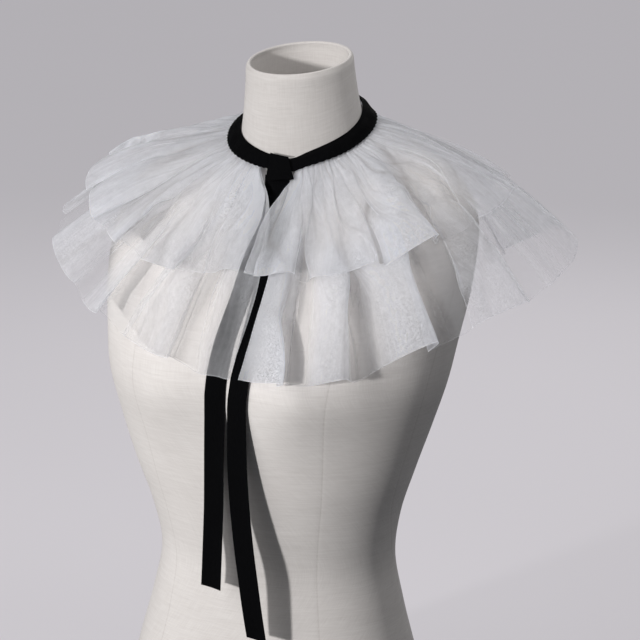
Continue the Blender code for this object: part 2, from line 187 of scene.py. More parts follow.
# The main creases: where each runs at the ribbon and at the hem, its half width, its height, how far
# it leans over its neighbour, and how far from the ribbon it begins. One with no lean is a soft flare.
# One that leans is the sharp edge of a flare: it runs along the edge, past 0 to the form's left.
FOLD_COLUMNS = ("top", "hem", "half_width", "height", "lean", "start")
FOLD_GROWTH = 130.0
FOLD_TURN = 110.0
SHARPEST_LEAN = 9.5
CREST_LEAD = 1.5
THIN_WIDTH = 1.3
LOWER_FOLDS = (
    (16, 13, 5, 6, 0, 60), (22, 20.5, 3, 11, 7.5, 45), (29.5, 26, 2.8, 6, -4, 50),
    (33, 30, 4, 6, 0, 50), (37.5, 37, 2.8, 11, 6.5, 50), (44.5, 42.5, 2.8, 6, -4, 60),
    (50, 48.5, 6, 11, 0, 50), (57, 57, 3.8, 11, 9.5, 45), (67, 65, 4.2, 7, 0, 60),
    (71, 71, 4.5, 6, 0, 60), (77, 78, 3.2, 4, 3, 60), (87, 87, 3.2, 4, -2, 60),
    (99, 97, 6, 4, 0, 50), (106, 108, 3.5, 4, 3.6, 50), (118, 121, 3.5, 4, -4, 50),
    (128, 127, 6, 5, 0, 40), (137, 137, 3.5, 6, 7, 60), (149, 149, 6, 8, 0, 50),
    (158, 158, 3.5, 6, 7.5, 50), (169, 170, 6, 9, 0, 60), (180, 180, 3.2, 5, -5, 60),
    (189, 189, 5, 7, 0, 50), (197, 197, 3.5, 6, 6, 50), (209, 209, 6.5, 9, 0, 60),
    (220, 221, 3.8, 7, 8, 50), (229, 229, 4, 5, 0, 60), (237, 236, 3.2, 6, -6, 50),
    (246, 246, 6, 9, 0, 60), (256, 256, 3.6, 6, 7, 50), (268, 268, 6, 5, 0, 50),
    (277, 277, 3.4, 5, 6, 50), (283, 281, 5, 5, 0, 50), (294, 289, 3.2, 6, -5, 50),
    (298, 296, 5.5, 6, 0, 40), (308, 304, 3.4, 6, 6, 50), (314, 311, 4.5, 6, 0, 50),
    (324, 319, 3.2, 7, 5.5, 50), (331, 328, 4.5, 5, 0, 60), (341, 343, 3, 6, 5, 50),
    (352, 352, 4, 3, 0, 60),
)
UPPER_FOLDS = (
    (24, 15, 5, 6, 0, 40), (33, 22.5, 3, 5, 5, 25), (37, 28, 2.6, 4, -3, 30),
    (44, 37, 5, 7, 0, 25), (54, 46, 3, 5, 5.5, 20), (59, 51, 2.6, 4, -3, 30),
    (67, 58, 5.5, 9, 0, 25), (76, 65.5, 3.8, 7, 9, 20), (88, 83, 3, 4, -4, 25),
    (97, 92, 5, 5, 0, 30), (112, 104, 3.6, 4, 4, 25), (121, 121, 6, 3, 0, 30),
    (131, 131, 3.4, 3, 5, 30), (141, 141, 5, 6, 0, 30), (151, 151, 3.2, 5, -5, 30),
    (159, 159, 5, 8, 0, 30), (169, 169, 3.6, 6, 7, 30), (179, 179, 5, 6, 0, 25),
    (188, 188, 3.2, 5, -4, 30), (196, 196, 5.5, 8, 0, 30), (206, 206, 3.6, 6, 7.5, 30),
    (217, 217, 6, 8, 0, 30), (227, 227, 3.2, 5, -5, 30), (236, 236, 5, 8, 0, 25),
    (245, 246, 3.4, 5, 6, 30), (256, 256, 6, 8, 0, 30), (266, 266, 3.4, 6, 7, 30),
    (275, 276, 5, 8, 0, 30), (283, 287, 3.2, 5, 5, 20), (287, 295, 5, 7, 0, 25),
    (292, 302, 3, 5, 5, 20), (298, 308, 4.5, 6, 0, 30), (301, 315.5, 3.2, 6, 6, 18),
    (318, 326, 5, 7, 0, 30), (328, 335.5, 3.2, 6, 5.5, 18), (342, 346, 5, 5, 0, 35),
)

# The gathers between the creases: how many go round, how deep they are, how far they tuck sideways,
# where along the fall each kind rises and dies away, what is left of it, and how dark it paints shade in
# its valleys.
GATHER_COLUMNS = (
    "turns", "depth", "tuck", "rise_from", "rise_to", "fade_from", "fade_to", "left", "drift", "shade",
)
GATHER_ROWS = (
    (97, 0.9, 0.8, 8, 20, 22, 62, 0.05, 0.016, 0.9),
    (53, 1.8, 3.2, 14, 50, 70, 190, 0.2, 0.022, 0.7),
    (29, 2.4, 5.6, 36, 120, 130, 300, 0.5, 0.012, 0.5),
)
LEAST_PLEAT_LENGTH = 0.45
LEAST_PLEAT_HEIGHT = 0.3
PLEAT_RANGE = 1.1
PLEAT_ROUNDNESS = 0.8
# Painted shade: how wide it is in the gathers' valleys; and in the troughs beside the leaning creases, how
# far nearer the ribbon than its crease it begins, where it lies past the crease's edge, how wide it is,
# and how much of it a crease whose overhang faces the key light keeps.
VALLEY_SHADE_WIDTH = 0.3
PAINTED_SHADE_LEAD = 30.0
PAINTED_SHADE_PLACE = 0.45
PAINTED_SHADE_WIDTH = 0.5
FACING_LIGHT_PAINTED_SHADE = 0.45
WANDER_COLUMNS = ("turns", "size", "phase")
WANDER_ROWS = ((3, 2.6, 0.4), (7, 1.9, 1.7), (13, 1.1, 0.2), (23, 0.6, 2.9))

# The middle line of each ribbon tail down to the bust, and how each one goes on to its end
TAIL_COLUMNS = ("z", "left_x", "right_x")
TAIL_ROWS = (
    (578.8, 6.0, 10.9),
    (562, 5.0, 14.0),
    (545, 4.0, 19.0),
    (515, 3.5, 22.5),
    (475, 1.0, 23.5),
    (440, -4.5, 21.5),
    (408, -7.0, 18.0),
    (380, -7.5, 16.0),
)
TAIL_REST_Z = 384.0
TAIL_FLATTEN_RUN = 60.0
END_COLUMNS = ("side", "start_y", "clearance", "end_z", "sway")
TAIL_ENDS = (
    ("left", -15.5, 1.0, 206.0, -5.0),
    ("right", -17.2, 2.7, 163.0, 20.0),
)

# The drape's own grid, and how clear of the form it keeps
DRAPE_STEP = 1.5
DRAPE_MARGIN = 24.0
DRAPE_SMOOTHING = 5
PATH_STEP = 3.0
DRAPE_REACH = 264.0
SEAM_CLEARANCE = 0.5
FORM_CLEARANCE = 3.0
CLEARANCE_RUN = 20.0
TAILS_CLEARANCE = 4.5
TAILS_ANGLE = 6.0
TAILS_SPREAD = 20.0
UPPER_SPREAD_LENGTH = 140.0
VIEW_FROM = 600.0

# The net's mesh, and how the upper tier sits over the lower one's creases
NET_ROUND = 1180
LOWER_NET_ROWS = 78
UPPER_NET_ROWS = 54
NET_APART = 1.0
UNDER_SHARE = 0.7

# The band's and the knot's own shapes
SCALLOPS = 39
SCALLOP_SIZE = 1.1
SCALLOP_DRAW = 0.3
SWELLS = 17
SWELL_SIZE = 0.35
BAND_THICKNESS = 0.7
KNOT_SWING = 5.5
KNOT_SPREAD = 16.8
KNOT_WIDENING = 2.0
KNOT_TOP = 0.9
KNOT_STEP = 3.2
KNOT_LENGTH = 28.5
KNOT_CROWN = 0.9

# How much denser the net looks where it is gathered, folded over, raised, hollow or steep
GATHERED_RUN = 95.0
FRONT_EDGE_COVER = 0.5
FRONT_EDGE_WIDTH = 10.0
SIDE_COVER = 0.38
SIDE_WIDTH = 45.0
FOLD_COVER = 0.28
FOLD_SHARPNESS = 0.45
RISE_COVER = 0.19
RISE_LIMIT = 8
CREST_COVER = 0.22
HOLLOW_COVER = 0.45
STEEP_COVER = 0.13

# Looks of the cloth. A noise's size is how far it moves the tone or the cover.
NOISE_COLUMNS = ("name", "detail", "across", "down", "size")
LINEN_NOISES = (
    ("weft", 3.0, 55.0, 900.0, 0.55),
    ("warp", 3.0, 900.0, 55.0, 0.5),
    ("slub", 2.0, 22.0, 330.0, 0.4),
)
LINEN_DARK = (0.495, 0.467, 0.450)
LINEN_LIGHT = (0.705, 0.683, 0.667)
SEAM_COLOUR = (0.16, 0.125, 0.10)
SEAM_SHARE = 0.3
NECK_SHADE = 0.85
RIBBON_DARK = (0.0006, 0.0006, 0.0008)
RIBBON_LIGHT = (0.0024, 0.0025, 0.003)
# How much each attribute adds to the net's cover. The painted shade of the troughs and gather valleys
# thickens it too, as a dark veil.
COVER_COLUMNS = ("attribute", "size")
COVER_ROWS = (("gathered", 0.36), ("doubled", 1.0), ("bunched", 1.0), ("painted_shade", 0.42))
NET_NOISES = (
    ("streak", 3.0, 120.0, 2.2, 0.28),
    ("broad", 2.0, 28.0, 3.5, 0.32),
    ("mottle", 3.0, 230.0, 120.0, 0.12),
    ("mesh", 1.0, 1500.0, 1500.0, 0.24),
)
# Fine bright lines down the net, each where a slow noise crosses its middle
LINE_WANDER = (75.0, 1.3, 1.0)
LINE_SHARPNESS = 14.0
LINE_COVER = 0.05
RIM_WIDTH = 1.4
RIM_COVER = 0.3
LEAST_COVER = 0.13
MOST_COVER = 0.9
NET_DIM = (0.595, 0.607, 0.636)
NET_BRIGHT = (0.68, 0.69, 0.715)
# Painted shade: how far the net's colour goes towards this dark brown-grey in its troughs and gather
# valleys
PAINTED_SHADE_SHARE = 0.75
PAINTED_SHADE_COLOUR = (0.20, 0.188, 0.18)
THREAD_SCATTER = 24.0
THREAD_FINENESS = 3500.0
LOWER_BODY = 0.16
UPPER_BODY = 0.23


def table(columns, rows, key):
    """A smooth function of the key column for each other column, for numbers or arrays."""
    data = np.array(rows, float)
    at = data[:, columns.index(key)]
    slopes = np.gradient(data, at, axis=0)

    def read(column, value):
        index = columns.index(column)
        value = np.clip(value, at.min(), at.max())
        right = np.clip(np.searchsorted(at, value), 1, len(at) - 1)
        span = at[right] - at[right - 1]
        t = (value - at[right - 1]) / span
        return (
            (2 * t**3 - 3 * t**2 + 1) * data[right - 1, index]
            + (t**3 - 2 * t**2 + t) * span * slopes[right - 1, index]
            + (3 * t**2 - 2 * t**3) * data[right, index]
            + (t**3 - t**2) * span * slopes[right, index]
        )

    return read


def ease(value):
    """0 below 0, 1 above 1, and smooth between them."""
    t = np.clip(value, 0.0, 1.0)
    return t * t * (3 - 2 * t)


def around(angle):
    """Angles between -180 and 180."""
    return (angle + 180) % 360 - 180


def bump(apart, half_width):
    """A smooth rise of 1, with this half width, at no distance apart."""
    return np.exp(-((apart / half_width) ** 2))


read_fall = table(FALL_COLUMNS, FALL_ROWS, "angle")
read_edge = table(EDGE_COLUMNS, EDGE_ROWS, "length")
read_torso = table(TORSO_COLUMNS, TORSO_ROWS, "z")
read_seam = table(SEAM_COLUMNS, SEAM_ROWS, "z")


def tipped(x, y, tilt, centre_y, centre_z):
    """Points of a ring's own plane, tipped forward by tilt about its centre."""
    angle = np.radians(tilt)
    return np.stack(np.broadcast_arrays(x, centre_y + y * np.cos(angle), centre_z + y * np.sin(angle)), -1)


def grid_object(name, points, closed_round=False, uv=None, values=None):
    """One named object from a grid of points in millimetres, first axis round, second axis along."""
    columns, rows = points.shape[:2]
    index = np.arange(columns * rows).reshape(columns, rows)
    if closed_round:
        index = np.concatenate([index, index[:1]])
    quads = np.stack([index[:-1, :-1], index[1:, :-1], index[1:, 1:], index[:-1, 1:]], -1).reshape(-1, 4)
    mesh = bpy.data.meshes.new(name)
    mesh.from_pydata((points.reshape(-1, 3) * MM).tolist(), [], quads.tolist())
    if uv is not None:
        if closed_round:
            uv = np.concatenate([uv, uv[:1] + (uv[-1:] - uv[-2:-1]) + (uv[-1:] - uv[:1])])
        corners = np.stack([uv[:-1, :-1], uv[1:, :-1], uv[1:, 1:], uv[:-1, 1:]], 2).reshape(-1)
        layer = mesh.uv_layers.new(name="cloth")
        layer.data.foreach_set("uv", (corners * MM).astype(np.float32))
    for key, data in (values or {}).items():
        attribute = mesh.attributes.new(key, "FLOAT", "POINT")
        spread = np.broadcast_to(data, points.shape[:2])
        attribute.data.foreach_set("value", spread.reshape(-1).astype(np.float32))
    mesh.shade_smooth()
    made = bpy.data.objects.new(name, mesh)
    bpy.context.scene.collection.objects.link(made)
    return made


def turned_out(made, centre):
    """Turns a piece's faces so that most look away from a centre in millimetres."""
    mesh = made.data
    middle = Vector(centre) * MM
    away = sum(face.normal.dot(face.center - middle) * face.area for face in mesh.polygons)
    if away < 0:
        mesh.flip_normals()
    return made


class Drape:
    """The surface that the cloth and the ribbon follow: out from the neck, and clear of the form."""

    def __init__(self, torso):
        corners = [vertex.co / MM for vertex in torso.data.vertices]
        self.form = BVHTree.FromPolygons(corners, [face.vertices for face in torso.data.polygons])
        self.angles = np.arange(-DRAPE_MARGIN, 360 + DRAPE_MARGIN + DRAPE_STEP / 2, DRAPE_STEP)
        turn = np.radians(self.angles)
        out = np.stack([np.sin(turn), -np.cos(turn), 0 * turn], -1)
        down = np.array([0, 0, -1.0])
        point = self.start(self.angles)
        places = []
        normals = []
        for step in range(int(DRAPE_REACH / PATH_STEP) + 1):
            along = step * PATH_STEP
            slope = self.slope(self.angles, along)[:, None]
            places.append(point)
            normals.append(out * np.sin(slope) - down * np.cos(slope))
            slope = self.slope(self.angles, along + PATH_STEP / 2)[:, None]
            point = point + (out * np.cos(slope) + down * np.sin(slope)) * PATH_STEP
            if along >= TIER_TOP - PATH_STEP:
                needed = self.clearance(self.angles, along)
                point = np.array([self.clear(Vector(p), c) for p, c in zip(point, needed)])
        self.places = self.smooth(np.stack(places, 1))
        self.normals = self.smooth(np.stack(normals, 1))

    def smooth(self, field):
        """The field, evened out a little from direction to direction."""
        for _ in range(DRAPE_SMOOTHING):
            wide = np.concatenate([field[:1], field, field[-1:]])
            field = (wide[:-2] + 2 * wide[1:-1] + wide[2:]) / 4
        return field

    def start(self, angle):
        """The ribbon band's top edge, on the tilted line round the neck."""
        turn = np.radians(angle)
        x = BAND_RADIUS * np.sin(turn)
        y = -BAND_RADIUS * np.cos(turn)
        ring = tipped(x, y, NECK_BASE_TILT, NECK_Y, NECK_BASE_Z + BAND_RISE)
        ring[..., 2] -= BAND_FRONT_DIP * bump(around(angle) - KNOT_ANGLE, BAND_DIP_SPREAD)
        return ring

    def slope(self, angle, along):
        """The slope below level, in radians, at a length from the band's top edge."""
        past = max(along - BAND_WIDTH, 0.0) / FALL_LENGTH
        top = read_fall("top_slope", around(angle))
        hem = read_fall("hem_slope", around(angle))
        free = top + (hem - top) * past**FALL_CURVE
        front = bump(around(angle) - KNOT_ANGLE, BAND_DIP_SPREAD)
        band = BAND_SLOPE + (BAND_FRONT_SLOPE - BAND_SLOPE) * front
        return np.radians(band + (free - band) * ease((along - BAND_WIDTH + SEAM_LEAD) / SEAM_TURN))

    def clearance(self, angle, along):
        """How far from the form the drape keeps: more at the front, where the tails lie under it."""
        over_tails = bump(around(angle) - TAILS_ANGLE, TAILS_SPREAD)
        free = FORM_CLEARANCE + (TAILS_CLEARANCE - FORM_CLEARANCE) * over_tails
        return SEAM_CLEARANCE + (free - SEAM_CLEARANCE) * ease((along - BAND_WIDTH) / CLEARANCE_RUN)

    def clear(self, point, clearance):
        """The point, moved straight away from the form if it is nearer than the clearance."""
        nearest, normal, _, _ = self.form.find_nearest(point)
        height = (point - nearest).dot(normal)
        if height < clearance:
            return point + normal * (clearance - height)
        return point

    def at(self, angle, along, lift):
        """Points above the drape in these directions, at lengths down and heights out from it."""
        angle, along, lift = np.broadcast_arrays(angle, along, lift)
        column = (angle - self.angles[0]) / DRAPE_STEP
        left = np.clip(np.floor(column).astype(int), 0, len(self.angles) - 2)
        row = along / PATH_STEP
        upper = np.clip(np.floor(row).astype(int), 0, self.places.shape[1] - 2)
        across = (column - left)[..., None]
        below = (row - upper)[..., None]
        found = []
        for field in (self.places, self.normals):
            top = field[left, upper] * (1 - across) + field[left + 1, upper] * across
            low = field[left, upper + 1] * (1 - across) + field[left + 1, upper + 1] * across
            found.append(top * (1 - below) + low * below)
        point, normal = found
        normal /= np.linalg.norm(normal, axis=-1, keepdims=True)
        return point + normal * lift[..., None]


def main_folds(rows, angle, along):
    """How far the main creases lift the cloth and carry it sideways, its bunching, and the painted shade
    beside them.
    """
    lift = np.zeros(np.broadcast(angle, along).shape)
    shift = np.zeros_like(lift)
    dense = np.zeros_like(lift)
    painted_shade = np.zeros_like(lift)
    for row in rows:
        fold = dict(zip(FOLD_COLUMNS, row))
        past = 1 - (1 - np.clip((along - TIER_TOP) / FOLD_TURN, 0.0, 1.0)) ** 2
        grown = ease((along - fold["start"]) / FOLD_GROWTH)
        crest = fold["top"] + (fold["hem"] - fold["top"]) * past - fold["lean"] * grown
        shape = bump(around(angle - crest), fold["half_width"]) * grown
        lift += fold["height"] * shape
        shift += fold["lean"] * shape
        if fold["lean"]:
            side = math.copysign(1.0, fold["lean"])
            sharp = abs(fold["lean"]) / SHARPEST_LEAN
            width = fold["half_width"]
            behind = crest + fold["lean"] + side * width
            dense += sharp * grown * bump(around(angle - crest + side * CREST_LEAD), width)
            dense -= sharp * grown * bump(around(angle - behind), width * THIN_WIDTH)
            # Painted shade in the troughs just past a leaning crease's edge, fuller where its overhang
            # faces away from the key light
            early = ease((along - fold["start"] + PAINTED_SHADE_LEAD) / FOLD_GROWTH)
            beside = crest + fold["lean"] + side * PAINTED_SHADE_PLACE * width
            faces_away = side * around(fold["hem"] - KEY_AZIMUTH) > 0
            depth = (1.0 if faces_away else FACING_LIGHT_PAINTED_SHADE) * np.sqrt(sharp * early)
            painted_shade += depth * bump(around(angle - beside), width * PAINTED_SHADE_WIDTH)
    return lift, shift, dense, painted_shade


def scattered(number):
    """A number between 0 and 1 for each number given, with no order to be seen."""
    return (np.sin(number * 12.9898) * 43758.5453) % 1.0


def gathers(angle, along, offset):
    """How far the gathers lift the cloth and tuck it sideways, and the painted shade in their valleys.

    Each pleat draws a height, a length, a tuck and a darkness of painted shade of its own. The multipliers
    beside the pleat's number only keep those draws apart.
    """
    turn = np.radians(angle)
    lift = np.zeros(np.broadcast(angle, along).shape)
    tuck = np.zeros_like(lift)
    valley_shade = np.zeros_like(lift)
    for number, row in enumerate(GATHER_ROWS):
        kind = dict(zip(GATHER_COLUMNS, row))
        phase = kind["turns"] * turn + offset * (number + 1)
        for wander_row in WANDER_ROWS:
            wander = dict(zip(WANDER_COLUMNS, wander_row))
            swing = wander["phase"] + offset + along * kind["drift"] * (1 + number % 2)
            phase = phase + wander["size"] * np.sin(wander["turns"] * turn + swing)
        pleat = np.floor(phase / (2 * math.pi))
        own_height = scattered(pleat * 1.37 + offset)
        own_length = LEAST_PLEAT_LENGTH + PLEAT_RANGE * scattered(pleat * 2.11 + offset + 5.0)
        rise = ease((along - kind["rise_from"]) / (kind["rise_to"] - kind["rise_from"]))
        fade_run = (kind["fade_to"] - kind["fade_from"]) * own_length
        fade = ease((along - kind["fade_from"]) / fade_run)
        size = rise * (1 - (1 - kind["left"]) * fade)
        height = kind["depth"] * (LEAST_PLEAT_HEIGHT + PLEAT_RANGE * own_height)
        lift += height * size * np.abs(np.sin(phase / 2)) ** PLEAT_ROUNDNESS
        way = 2 * scattered(pleat * 0.73 + offset + 9.0) - 1
        tuck += kind["tuck"] * size * way * np.sin(phase / 2) ** 2
        # Painted shade along the valleys between pleats, darker in some valleys than in others
        own_valley_shade = scattered(np.round(phase / (2 * math.pi)) * 1.91 + offset + 3.0) ** 2
        valley_shade += kind["shade"] * size * own_valley_shade * bump(np.sin(phase / 2), VALLEY_SHADE_WIDTH)
    return lift, tuck, valley_shade


def lower_shape(angle, along):
    """The lower tier's lift off the drape, its shift sideways, its bunching and its painted shade."""
    lift, shift, dense, painted_shade = main_folds(LOWER_FOLDS, angle, along)
    pleats, tuck, valley_shade = gathers(angle, along, 0.0)
    return GAP + pleats + lift, shift + tuck, dense, painted_shade + valley_shade


def upper_shape(angle, along):
    """The same for the upper tier, which also rides over the lower one's creases."""
    under = main_folds(LOWER_FOLDS, angle, along)[0]
    lift, shift, dense, painted_shade = main_folds(UPPER_FOLDS, angle, along)
    spread = read_fall("upper_spread", around(angle)) * ease((along - BAND_WIDTH) / UPPER_SPREAD_LENGTH)
    pleats, tuck, valley_shade = gathers(angle, along, 2.1)
    over = 2 * GAP + NET_APART + pleats + under * UNDER_SHARE + spread
    return over + lift, shift + tuck, dense, painted_shade + valley_shade


def steepness(points, flat):
    """How much longer the net's way round is than the drape's under it, at each point."""
    wide = np.linalg.norm(np.diff(points, axis=0), axis=-1)
    plain_wide = np.linalg.norm(np.diff(flat, axis=0), axis=-1)
    steep = np.clip(wide / np.maximum(plain_wide, 0.05) - 1, 0, 1.5)
    return np.concatenate([steep[:1], (steep[1:] + steep[:-1]) / 2, steep[-1:]])


def bunching(lift, dense, turned, along, steep):
    """How much denser the net looks where it folds over, is raised or stands steeply, or thinner."""
    raised = np.clip(lift - lift.mean(0, keepdims=True), -RISE_LIMIT, RISE_LIMIT) / RISE_LIMIT
    folded = FOLD_COVER * bump(turned, FOLD_SHARPNESS) * ease((along - 50.0) / 50.0)
    crest = CREST_COVER * np.clip(dense, 0, 0.7)
    hollow = HOLLOW_COVER * np.clip(dense, -0.5, 0)
    return folded + RISE_COVER * raised + crest + hollow + STEEP_COVER * steep


def build_tier(name, drape, shape, edges, length_column, rows):
    """One gathered tier of net: a single surface with its gathers, creases and cut edges."""
    left_edge, right_edge = edges
    full = max(row[FALL_COLUMNS.index(length_column)] for row in FALL_ROWS)
    hem_left = read_edge(left_edge, BAND_WIDTH + full)
    hem_right = read_edge(right_edge, BAND_WIDTH + full)
    angle = np.linspace(hem_right, 360 + hem_left, NET_ROUND + 1)[:, None]
    from_right = angle - hem_right
    from_left = 360 + hem_left - angle
    turn = np.radians(angle)
    reach = read_fall(length_column, around(angle)) + BAND_WIDTH - TIER_TOP
    reach = reach + HEM_WAVE * np.sin(17 * turn + full) + HEM_RIPPLE * np.sin(29 * turn + 1.0)
    share = np.linspace(0, 1, rows + 1)[None, :]
    along = TIER_TOP + reach * share
    shift_right = (read_edge(right_edge, along) - hem_right) * bump(from_right, EDGE_SPREAD)
    shift_left = (read_edge(left_edge, along) - hem_left) * bump(from_left, EDGE_SPREAD)
    heading = angle + shift_right + shift_left
    lift, shift, dense, painted_shade = shape(heading, along)
    carried = heading + shift * ease(from_right / 8.0) * ease(from_left / 8.0)
    points = drape.at(carried, along, lift)
    across = np.linalg.norm(np.diff(points, axis=0), axis=-1)[:, int(rows * 0.8)]
    flat_x = np.concatenate([[0.0], np.cumsum(across)])[:, None] + 0 * share
    from_sides = np.minimum(flat_x, flat_x[-1:] - flat_x)
    front_edge = FRONT_EDGE_COVER * bump(flat_x, FRONT_EDGE_WIDTH) * ease((along - 115.0) / 30.0)
    turned = np.gradient(carried, axis=0) / np.gradient(heading, axis=0)
    steep = steepness(points, drape.at(heading, along, 0.0))
    values = {
        "rim": np.minimum(reach * (1 - share), from_sides),
        "gathered": 1 - ease((along - TIER_TOP) / GATHERED_RUN) + 0 * angle,
        "doubled": front_edge + SIDE_COVER * bump(from_sides, SIDE_WIDTH),
        "bunched": bunching(lift, dense, turned, along, steep),
        # Painted shade in the troughs and gather valleys, which darkens the net and thickens it
        "painted_shade": np.clip(painted_shade, 0, 1),
    }
    made = grid_object(name, points, uv=np.stack([flat_x, along + 0 * flat_x], -1), values=values)
    print(f"{name}: hem {flat_x[-1, 0]:.0f} mm, length {float(reach.mean()):.0f} mm")
    return turned_out(made, (0, NECK_Y, NECK_BASE_Z - 160))


def ring_points(z, turn):
    """Points of the form's ring at these heights and turns, with the bust's rise."""
    size = {column: read_torso(column, z) for column in TORSO_COLUMNS}
    power = 2 / size["squareness"]
    sine = np.sin(turn)
    cosine = np.cos(turn)
    x = size["half_width"] * np.sign(sine) * np.abs(sine) ** power
    y = -size["half_depth"] * np.sign(cosine) * np.abs(cosine) ** power
    degrees = np.degrees(np.arctan2(x, -y))
    y = y - BUST_RISE * bump(np.abs(degrees) - BUST_ANGLE, BUST_SPREAD) * bump(z - BUST_Z, BUST_HEIGHT)
    return tipped(x, y, size["tilt"], size["y"], z)


def seam_turns(base, z):
    """Turns of the columns at each height, so that the named columns run along the seams."""
    anchors = np.array([0.0, 36.0, 90.0, 144.0, 180.0])
    sides = np.stack([
        0 * z, read_seam("front", z), read_seam("side", z), read_seam("back", z), 0 * z + 180,
    ], -1)
    size = np.abs(base)
    cell = np.clip(np.searchsorted(anchors, size, side="right") - 1, 0, 3)
    part = (size - anchors[cell]) / (anchors[cell + 1] - anchors[cell])
    low = np.take_along_axis(sides, np.broadcast_to(cell, (len(z), len(base))), 1)
    high = np.take_along_axis(sides, np.broadcast_to(cell + 1, (len(z), len(base))), 1)
    return (np.sign(base) * (low + (high - low) * part)).T


def build_torso():
    """The torso: one smooth skin, with grooves along its seams, closed at the foot and the neck."""
    seams = (-144.0, -90.0, -36.0, 36.0, 90.0, 144.0, 180.0)
    apart = 0.55
    between = np.arange(-178.0, 179.0, 2.0)
    between = [turn for turn in between if min(abs(turn - seam) for seam in (*seams, -180.0)) > 1.2]
    beside = [seam + side * apart for seam in seams[:-1] for side in (-1, 0, 1)]
    base = np.array(sorted([*between, *beside, 180.0 - apart, -180.0 + apart, 180.0]))
    z = np.concatenate([np.arange(0, 560, 5.0), np.arange(560, 619, 2.0), [619.0]])
    turn = np.radians(seam_turns(base, z))
    points = ring_points(z[None, :], turn)
    on_seam = np.isin(base, seams)[:, None] & (z[None, :] < 617)
    middle = points.mean(0, keepdims=True)
    inward = middle - points
    inward /= np.linalg.norm(inward, axis=-1, keepdims=True)
    points = points + inward * (on_seam * 0.1)[..., None]
    steps = np.linalg.norm(np.diff(points, axis=0), axis=-1)
    flat_x = np.concatenate([np.zeros((1, len(z))), np.cumsum(steps, 0)])
    uv = np.stack([flat_x, np.broadcast_to(z, flat_x.shape)], -1)
    made = grid_object("form_torso_linen", points, True, uv, {"seam": on_seam * 1.0})
    shape = bmesh.new()
    shape.from_mesh(made.data)
    bmesh.ops.holes_fill(shape, edges=[edge for edge in shape.edges if edge.is_boundary], sides=0)
    shape.to_mesh(made.data)
    shape.free()
    made.data.set_sharp_from_angle(angle=math.radians(45))
    return turned_out(made, (0, 0, 300))


def build_neck():
    """The neck: an open tube with a rounded rim."""
    read_neck = table(NECK_COLUMNS, NECK_ROWS, "share")
    up = np.linspace(0, 1, 25)
    outer = read_neck("radius", up)
    rim_turn = np.radians(np.linspace(0, 180, 9))
    half = NECK_WALL / 2 - 0.3
    share = np.concatenate([up[:-1], 1 - 0.02 + 0.02 * np.sin(rim_turn), up[:-1][::-1]])
    radius = np.concatenate([
        outer[:-1], outer[-1] - half + half * np.cos(rim_turn), outer[:-1][::-1] - NECK_WALL,
    ])
    turn = np.radians(np.arange(0, 360, 2.0))[:, None]
    tilt = NECK_BASE_TILT + (NECK_RIM_TILT - NECK_BASE_TILT) * share
    centre_y = NECK_Y + (NECK_RIM_Y - NECK_Y) * share
    centre_z = NECK_BASE_Z + GAP + (NECK_RIM_Z - NECK_BASE_Z - GAP) * share
    points = tipped(radius * np.sin(turn), -radius * np.cos(turn), tilt, centre_y, centre_z)
    down = np.cumsum(np.concatenate([[0.0], np.linalg.norm(np.diff(points[0], axis=0), axis=-1)]))
    uv = np.stack(np.broadcast_arrays(np.degrees(turn) * 0.95, down[None, :]), -1)
    return grid_object("form_neck_linen", points, True, uv, {"seam": 0.0})


def strip(name, inner, outer):
    """A closed strip between two grids of points with the same columns and rows."""
    loop = np.concatenate([inner, outer[:, ::-1], inner[:, :1]], 1)
    columns, rows = inner.shape[:2]
    steps = np.linalg.norm(np.diff(loop[columns // 2], axis=0), axis=-1)
    round_x = np.concatenate([[0.0], np.cumsum(steps)])
    lengths = np.linalg.norm(np.diff(loop[:, rows // 2], axis=0), axis=-1)
    along = np.concatenate([[0.0], np.cumsum(lengths)])
    uv = np.stack(np.broadcast_arrays(round_x[None, :], along[:, None]), -1)
    made = grid_object(name, loop, uv=uv)
    shape = bmesh.new()
    shape.from_mesh(made.data)
    bmesh.ops.remove_doubles(shape, verts=shape.verts, dist=0.01 * MM)
    bmesh.ops.holes_fill(shape, edges=[edge for edge in shape.edges if edge.is_boundary], sides=0)
    bmesh.ops.recalc_face_normals(shape, faces=shape.faces)
    shape.to_mesh(made.data)
    shape.free()
    made.data.set_sharp_from_angle(angle=math.radians(60))
    return made


def build_band(drape):
    """The ribbon round the neck, a little drawn in where each gather is sewn under it."""
    start = KNOT_ANGLE + BAND_OPENING / 2
    end = 360 + KNOT_ANGLE - BAND_OPENING / 2
    angle = np.linspace(start, end, 540)[:, None]
    share = np.linspace(0, 1, 9)[None, :]
    turn = np.radians(angle)
    scallop = SCALLOP_SIZE * np.abs(np.sin(SCALLOPS * turn + 1.3 * np.sin(5 * turn))) - SCALLOP_DRAW
    notch = NOTCH_DROP * bump(around(angle - NOTCH_ANGLE), NOTCH_SPREAD)
    along = notch + (BAND_WIDTH + scallop) * share
    swell = SWELL_SIZE * np.sin(SWELLS * turn) * np.sin(math.pi * share) + 0.3 * scallop * share
    lift = GAP + BAND_LIFT * ease(along / BAND_LIFT_RUN) + swell
    inner = drape.at(angle, along, lift)
    return strip("neck_ribbon_cloth", inner, drape.at(angle, along, lift + RIBBON * BAND_THICKNESS))


def build_knot(drape):
    """The half knot: the ribbon folded down over the band, with its fold on the left side."""
    share = np.linspace(-0.5, 0.5, 25)[:, None]
    down = np.linspace(0, 1, 19)[None, :]
    angle = KNOT_MIDDLE + KNOT_SWING * down + (KNOT_SPREAD + KNOT_WIDENING * down) * share
    along = KNOT_TOP + KNOT_STEP * (share + 0.5) * (1 - down) + KNOT_LENGTH * down
    crown = KNOT_CROWN * np.cos(math.pi * share) + 0.4 * np.sin(3 * math.pi * share + 1.0) * down
    lift = BAND_LIFT + RIBBON + 2 * GAP
    inner = drape.at(angle, along, lift + 0 * crown)
    return strip("ribbon_knot_cloth", inner, drape.at(angle, along, lift + 1.1 + crown))


